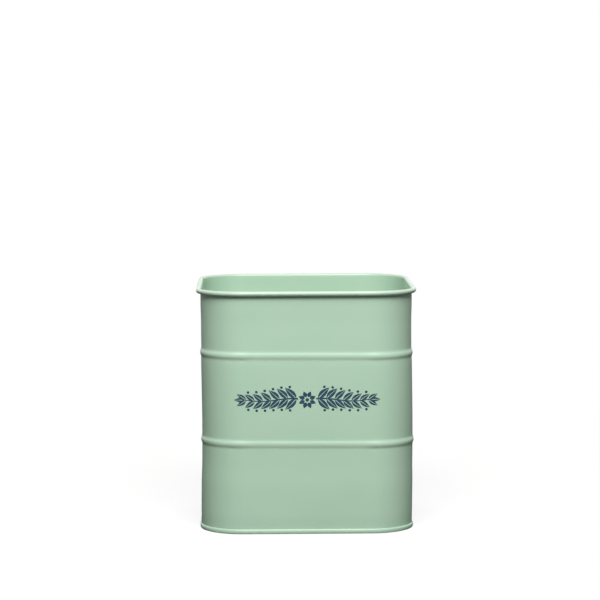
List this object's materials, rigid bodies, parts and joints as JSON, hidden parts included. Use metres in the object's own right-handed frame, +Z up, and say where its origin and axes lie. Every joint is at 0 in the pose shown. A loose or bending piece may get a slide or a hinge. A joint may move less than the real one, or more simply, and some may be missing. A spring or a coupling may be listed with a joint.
{
  "type": "utensil holder",
  "caption": "Open square tin of painted sheet steel for kitchen utensils, with round corners, a wired rolled rim, raised beads round the wall and a double-seamed base.",
  "frame": {"origin": "middle of the footprint, on the surface that the tin stands on", "axes": "+Z up, +X to the right seen from the front, the front faces -Y and the lock seam is at the back"},
  "size_m": [0.1458, 0.1458, 0.16],
  "materials": {
    "painted_wall": "pale sage green satin powder coat on sheet steel, inside and outside",
    "painted_base": "pale sage green satin powder coat on sheet steel",
    "steel_wire": "plain drawn steel wire, hidden inside the rolled rim"
  },
  "bodies": {
    "root": {"body_wall": "painted_wall", "base_pan": "painted_base", "rim_wire": "steel_wire"}
  },
  "joints": []
}
